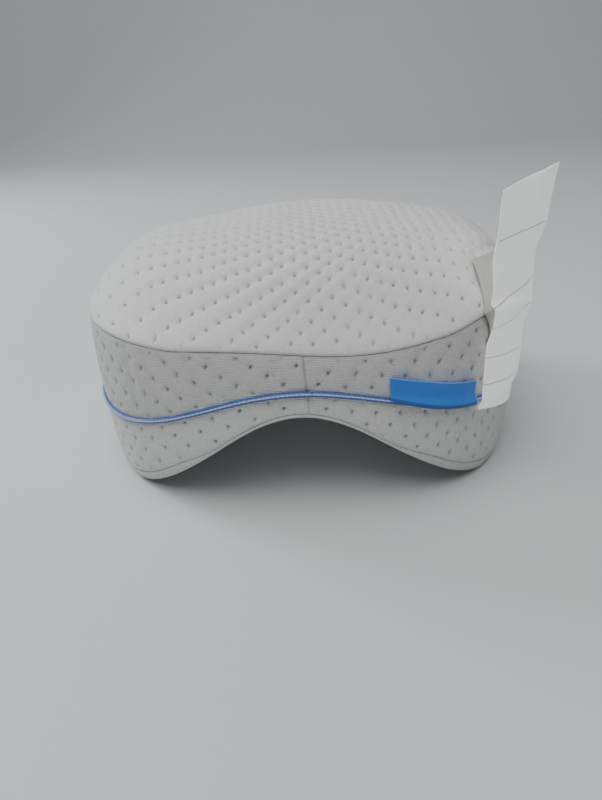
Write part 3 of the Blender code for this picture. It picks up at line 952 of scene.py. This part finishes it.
class Finish:
    # A material's node tree.
    def __init__(self, name):
        self.material = bpy.data.materials.new(name)
        self.material.use_nodes = True
        self.tree = self.material.node_tree
        self.shader = self.tree.nodes["Principled BSDF"]

    def add(self, kind, settings, inputs, output=0):
        node = self.tree.nodes.new(kind)
        for key, value in settings.items():
            setattr(node, key, value)
        for key, value in inputs.items():
            if isinstance(value, Wire):
                self.tree.links.new(value.socket, node.inputs[key])
            else:
                node.inputs[key].default_value = value
        return Wire(self, node.outputs[output])

    def uv(self):
        both = self.add("ShaderNodeUVMap", {"uv_map": "cloth"}, {})
        split = self.tree.nodes.new("ShaderNodeSeparateXYZ")
        self.tree.links.new(both.socket, split.inputs[0])
        return both, Wire(self, split.outputs[0]), Wire(self, split.outputs[1])

    def place(self):
        return self.add("ShaderNodeTexCoord", {}, {}, "Object")

    def shade(self, name):
        return self.add("ShaderNodeAttribute", {"attribute_name": name}, {}, "Fac")

    def noise(self, vector, scale, detail=2.0, roughness=0.5):
        inputs = {"Vector": vector, "Scale": scale, "Detail": detail, "Roughness": roughness}
        return self.add("ShaderNodeTexNoise", {}, inputs)

    def mix(self, factor, one, two):
        return self.add("ShaderNodeMix", {"data_type": "RGBA"}, {"Factor": factor, 6: one, 7: two}, 2)

    def ramp(self, factor, low, high):
        inputs = {0: factor, 1: low, 2: high, 3: 0.0, 4: 1.0}
        return self.add("ShaderNodeMapRange", {"interpolation_type": "SMOOTHSTEP"}, inputs)

    def bump(self, height, strength, distance):
        inputs = {"Height": height, "Strength": strength, "Distance": distance}
        return self.add("ShaderNodeBump", {}, inputs)

    def plain(self, **values):
        for key, value in values.items():
            self.shader.inputs[key.replace("_", " ")].default_value = value

    def feed(self, socketName, wire):
        self.tree.links.new(wire.socket, self.shader.inputs[socketName])


def knitFinish(name, look):
    # White double knit: fine rows, painted shade in each pit and along each seam, and a painted highlight
    # beside each pit.
    finish = Finish(name)
    both, u, v = finish.uv()
    pit = finish.shade("pit")
    rows = (v * (2 * pi / look["rowPitch"])).maths("SINE")
    wales = (u * (2 * pi / look["walePitch"])).maths("SINE")
    fuzz = finish.noise(both, 900.0, 3.0)
    knit = rows * look["rowHeight"] + wales * look["waleHeight"] + fuzz * look["fuzzHeight"]
    finish.feed("Normal", finish.bump(knit, look["bump"], 0.001))
    tone = finish.mix(finish.noise(finish.place(), 26.0, 2.0), look["light"], look["warm"])
    # painted shade in each pit, standing in for the shadow in its hollow
    tone = finish.mix((pit * look["pitShade"]).clipped(), tone, look["shade"])
    # painted highlight beside each pit, on its side towards the light
    tone = finish.mix((finish.shade("loopHighlight") * look["highlightShare"]).clipped(), tone, look["pitHighlight"])
    # painted shade along the seams, where the cloth tucks in
    tone = finish.mix((finish.shade("crease") * look["creaseShade"]).clipped(), tone, look["shade"])
    # painted blue light bounced from the blue label onto the band above it
    tone = finish.mix((finish.shade("blueBounce") * look["blueBounceShare"]).clipped(), tone, look["blueBounce"])
    grain = finish.noise(both, 520.0, 4.0, 0.7)
    ground = (rows * 0.5 + 0.5) * look["rowShade"] + (grain - 0.42) * look["grainShade"]
    tone = finish.mix(ground.clipped(), tone, look["shade"])
    finish.feed("Base Color", tone)
    finish.feed("Roughness", 0.62 + 0.2 * fuzz)
    finish.plain(Sheen_Weight=0.25, Sheen_Roughness=0.5, Specular_IOR_Level=0.35)
    return finish.material


knitLook = {
    "light": (0.80, 0.805, 0.80, 1),
    "warm": (0.77, 0.77, 0.755, 1),
    "shade": (0.13, 0.135, 0.14, 1),
    "pitHighlight": (0.99, 0.99, 0.98, 1),
    "highlightShare": 1.0,
    "grainShade": 0.35,
    "blueBounce": (0.35, 0.42, 0.72, 1),
    "blueBounceShare": 0.45,
    "pitShade": 1.0,
    "creaseShade": 0.32,
    "rowPitch": 0.00085,
    "walePitch": 0.0011,
    "rowHeight": 0.06,
    "waleHeight": 0.06,
    "fuzzHeight": 0.22,
    "rowShade": 0.05,
    "bump": 0.8,
}
# The bands' cloth has coarser rows and grain, and its tone is painted darker: painted shade on the
# upright bands, which face away from the light
shadedBandLook = dict(knitLook, light=(0.74, 0.745, 0.725, 1), warm=(0.69, 0.695, 0.67, 1),
                rowShade=0.14, grainShade=0.5, rowHeight=0.16)
# the lower band's tone is painted lighter: painted light bounced up from the floor
bounceLitLook = dict(shadedBandLook, light=(0.86, 0.865, 0.845, 1), warm=(0.81, 0.815, 0.79, 1))
topKnit = knitFinish("topKnit", knitLook)
bounceLitKnit = knitFinish("bounceLitKnit", bounceLitLook)
shadedBandKnit = knitFinish("shadedBandKnit", shadedBandLook)


satinLook = {
    "blue": (0.035, 0.105, 0.420, 1),
    "shine": (0.60, 0.74, 0.95, 1),
    "under": (0.020, 0.060, 0.26, 1),
    "rib": (0.02, 0.05, 0.18, 1),
    "ribs": 2600.0,          # radians a metre
}


def satinFinish():
    # Blue satin cord with a painted highlight along it, painted shade on its lower side, and fine
    # slanting ribs.
    finish = Finish("blueSatin")
    along, around = finish.uv()[1:]
    paintedHighlight = 1 - finish.ramp((around - 0.42).maths("ABSOLUTE"), 0.10, 0.36)
    lower = finish.ramp(around, -0.95, -0.35)
    rib = (along * satinLook["ribs"] + around * 1.5).maths("SINE")
    # painted highlight along the top of the cord
    tone = finish.mix(paintedHighlight, satinLook["blue"], satinLook["shine"])
    # painted shade on the cord's lower side
    tone = finish.mix((1 - lower) * 0.75, tone, satinLook["under"])
    tone = finish.mix((rib * 0.5 + 0.5) * 0.25, tone, satinLook["rib"])
    finish.feed("Base Color", tone)
    finish.feed("Normal", finish.bump(rib, 0.25, 0.0003))
    finish.plain(Roughness=0.33, Specular_IOR_Level=0.6, Sheen_Weight=0.15)
    return finish.material


blueLook = {
    "blue": (0.030, 0.215, 0.760, 1),
    "bright": (0.040, 0.250, 0.860, 1),
    "low": (0.012, 0.09, 0.36, 1),
    "edge": (0.25, 0.45, 0.85, 1),
    "ground": (0.016, 0.11, 0.42, 1),
}


def blueFinish():
    # Plain blue weave, with painted shade where it turns under the cord, and pale along its cut edges.
    finish = Finish("blueWeave")
    across, along = finish.uv()[1:]
    weave = (across * 900.0).maths("SINE") * (along * 260.0).maths("SINE")
    edge = finish.ramp(along, 0.95, 0.975).maths("MAXIMUM", finish.ramp(across, 0.982, 0.992))
    low = 1 - finish.ramp(along, 0.10, 0.16)
    patch = finish.noise(finish.place(), 300.0, 2.0)
    tone = finish.mix(patch, blueLook["blue"], blueLook["bright"])
    # painted shade where the label turns under the cord
    tone = finish.mix(low * 0.85, tone, blueLook["low"])
    tone = finish.mix(edge * 0.8, tone, blueLook["edge"])
    tone = finish.mix((weave * 0.5 + 0.5) * 0.2, tone, blueLook["ground"])
    finish.feed("Base Color", tone)
    finish.feed("Normal", finish.bump(weave, 0.3, 0.0002))
    finish.plain(Roughness=0.55, Specular_IOR_Level=0.4, Sheen_Weight=0.1)
    return finish.material


tapeLooks = {
    "white": {"light": (0.90, 0.91, 0.91, 1), "shade": (0.86, 0.87, 0.87, 1), "glow": 0.42},
    "cream": {"light": (0.49, 0.48, 0.435, 1), "shade": (0.44, 0.43, 0.39, 1), "glow": 0.0},
    "rule": (0.10, 0.10, 0.11, 1),
    "ruleCore": 0.0012,      # half widths, as shares of the tape's length
    "ruleEdge": 0.0030,
}


def tapeFinish(name, look, rules):
    # Woven tape, with thin plain rules across it where asked, and as much painted glow as its look gives.
    finish = Finish(name)
    across, along = finish.uv()[1:]
    weave = (across * 700.0).maths("SINE") * (along * 1900.0).maths("SINE")
    cloud = finish.noise(finish.place(), 60.0, 3.0)
    tone = finish.mix(cloud, look["light"], look["shade"])
    for rule in rules:
        begun = finish.ramp(across, rule["from"] - 0.01, rule["from"])
        ended = 1 - finish.ramp(across, rule["to"], rule["to"] + 0.01)
        away = (along - rule["at"]).maths("ABSOLUTE")
        line = 1 - finish.ramp(away, tapeLooks["ruleCore"], tapeLooks["ruleEdge"])
        tone = finish.mix(line * begun * ended * rule["dark"], tone, tapeLooks["rule"])
    finish.feed("Base Color", tone)
    finish.feed("Normal", finish.bump(weave, 0.15, 0.0002))
    # the tape glows a little with its own colour: painted light, brighter than the lamps make it
    finish.feed("Emission Color", tone)
    finish.plain(Roughness=0.55, Specular_IOR_Level=0.4, Sheen_Weight=0.1, Emission_Strength=look["glow"])
    return finish.material


# The thin rules across the white tape: place along it, ends across it and strength
rules = [
    {"at": 0.055, "from": 0.03, "to": 0.97, "dark": 0.3},
    {"at": 0.187, "from": 0.00, "to": 0.97, "dark": 0.75},
    {"at": 0.320, "from": 0.00, "to": 0.76, "dark": 0.75},
    {"at": 0.510, "from": 0.00, "to": 0.96, "dark": 0.75},
    {"at": 0.617, "from": 0.00, "to": 0.97, "dark": 0.75},
    {"at": 0.835, "from": 0.04, "to": 0.97, "dark": 0.75},
]
whiteTape = tapeFinish("whiteTape", tapeLooks["white"], rules)
creamTape = tapeFinish("creamTape", tapeLooks["cream"], [])
print("finishes ready")

# Making the pieces
topPanel = finishPiece(makeTopPanel(), "top_panel", topKnit)
print("top panel made", len(topPanel.data.polygons))
upperBand = makeBand("upperBand", pipingSeam, topSeam, bands["upperRows"])
finishPiece(upperBand, "upper_band", shadedBandKnit)
lowerBand = makeBand("lowerBand", bottomSeam, pipingSeam, bands["lowerRows"])
finishPiece(lowerBand, "lower_band", bounceLitKnit)
bottomPanel = finishPiece(makeBottomPanel(), "bottom_panel", shadedBandKnit)
print("bands and bottom made")
pipingCord = finishPiece(makePiping(), "piping", satinFinish())
blueLabel = makeTape("blueLabel", 100, 36, bluePlace, blue["thickness"])
finishPiece(blueLabel, "blue_label", blueFinish())
longLabel = makeTape("longLabel", 70, 180, longPlace, tapes["thickness"])
finishPiece(longLabel, "long_label", whiteTape)
shortLabel = makeTape("shortLabel", 70, 110, shortPlace, tapes["thickness"])
finishPiece(shortLabel, "short_label", creamTape)
print("piping and labels made")

# Floor, light and camera
studio = {
    "floorSize": 4.0,
    "cells": 160,
    "coveFrom": 1.5,         # the paper sweeps up behind the pillow
    "coveRadius": 0.9,
    "floorTone": (0.70, 0.715, 0.73, 1),
    "cloudTone": (0.67, 0.685, 0.70, 1),
    "worldTone": (0.88, 0.92, 0.96, 1),
    "worldPower": 0.17,
}
floorBuilder = bmesh.new()
bmesh.ops.create_grid(floorBuilder, x_segments=2, y_segments=studio["cells"], size=studio["floorSize"])
floorMesh = bpy.data.meshes.new("studioFloor")
floorBuilder.to_mesh(floorMesh)
floorBuilder.free()
floorMesh.shade_smooth()
floorPoints = meshPoints(floorMesh)
beyond = np.maximum(floorPoints[:, 1] - studio["coveFrom"], 0)
bend = np.minimum(beyond / studio["coveRadius"], pi / 2)
swept = studio["coveFrom"] + studio["coveRadius"] * np.sin(bend)
floorPoints[:, 1] = np.where(beyond > 0, swept, floorPoints[:, 1])
upWall = np.maximum(beyond - studio["coveRadius"] * pi / 2, 0)
floorPoints[:, 2] = studio["coveRadius"] * (1 - np.cos(bend)) + upWall
setPoints(floorMesh, floorPoints)
floor = bpy.data.objects.new("studioFloor", floorMesh)
bpy.context.scene.collection.objects.link(floor)
floorFinish = Finish("paleFloor")
floorCloud = floorFinish.noise(floorFinish.place(), 3.0, 3.0)
floorFinish.feed("Base Color", floorFinish.mix(floorCloud, studio["floorTone"], studio["cloudTone"]))
floorFinish.plain(Roughness=0.6, Specular_IOR_Level=0.3)
floor.data.materials.append(floorFinish.material)

world = bpy.data.worlds.new("softSky")
bpy.context.scene.world = world
world.use_nodes = True
background = world.node_tree.nodes["Background"]
background.inputs["Color"].default_value = studio["worldTone"]
background.inputs["Strength"].default_value = studio["worldPower"]

lights = [
    {"name": "overheadSoft", "size": 1.9, "power": 38.0, "tone": (1.0, 0.985, 0.97),
     "place": (-0.25, -0.55, 2.1), "aim": (0, 0, 0.08)},
    {"name": "leftSoft", "size": 0.45, "power": 12.0, "tone": (0.88, 0.95, 1.0),
     "place": (-1.25, 0.62, 0.80), "aim": (0, 0, 0.10)},
]
for light in lights:
    lamp = bpy.data.lights.new(light["name"], "AREA")
    lamp.shape = "SQUARE"
    lamp.size = light["size"]
    lamp.energy = light["power"]
    lamp.color = light["tone"]
    lampObject = bpy.data.objects.new(light["name"], lamp)
    lampObject.location = light["place"]
    direction = Vector(light["aim"]) - Vector(light["place"])
    lampObject.rotation_euler = direction.to_track_quat("-Z", "Y").to_euler()
    bpy.context.scene.collection.objects.link(lampObject)

# The photograph's camera: its heading, its dip and its roll are in radians
view = {
    "place": (0.0144, -0.3909, 0.2196),
    "heading": -0.0519,
    "down": 0.4985,
    "roll": 0.0591,
    "lens": 36.82,
}
cameraData = bpy.data.cameras.new("photoView")
cameraData.sensor_fit = "HORIZONTAL"
cameraData.sensor_width = 36.0
cameraData.lens = view["lens"]
cameraData.clip_start = 0.01
camera = bpy.data.objects.new("photoView", cameraData)
bpy.context.scene.collection.objects.link(camera)
flat = Vector((sin(view["heading"]), cos(view["heading"]), 0))
level = Vector((cos(view["heading"]), -sin(view["heading"]), 0))
upright = Vector((0, 0, 1))
forward = flat * cos(view["down"]) - upright * sin(view["down"])
downward = -(flat * sin(view["down"]) + upright * cos(view["down"]))
right = level * cos(view["roll"]) + downward * sin(view["roll"])
up = level * sin(view["roll"]) - downward * cos(view["roll"])
turn = Matrix((right, up, -forward)).transposed().to_4x4()
camera.matrix_world = Matrix.Translation(view["place"]) @ turn
bpy.context.scene.camera = camera
print("camera and lights ready")

bpy.context.view_layer.update()
